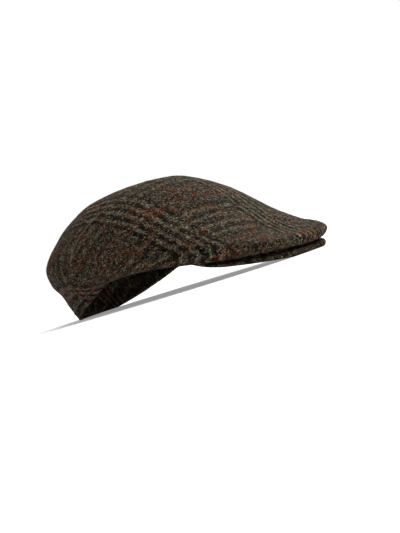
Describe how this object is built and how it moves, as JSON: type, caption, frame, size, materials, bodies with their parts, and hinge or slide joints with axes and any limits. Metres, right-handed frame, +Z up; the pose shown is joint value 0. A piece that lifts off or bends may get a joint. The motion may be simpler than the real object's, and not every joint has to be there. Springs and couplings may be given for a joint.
{
  "type": "flat cap",
  "caption": "Soft tweed flat cap: a rounded crown pulled forward over a short stiff peak, open underneath for the head.",
  "frame": {"origin": "on the surface the cap rests on, under the middle of its length and width", "axes": "+Z up; the peak points to -Y and the back of the crown to +Y; the wearer's right side is at -X"},
  "size_m": [0.202, 0.283, 0.111],
  "materials": {
    "crown_tweed": "brown and grey-green checked wool tweed, brushed",
    "peak_tweed": "the same tweed over a stiff board"
  },
  "bodies": {
    "root": {"crown": "crown_tweed", "peak": "peak_tweed"}
  },
  "joints": []
}
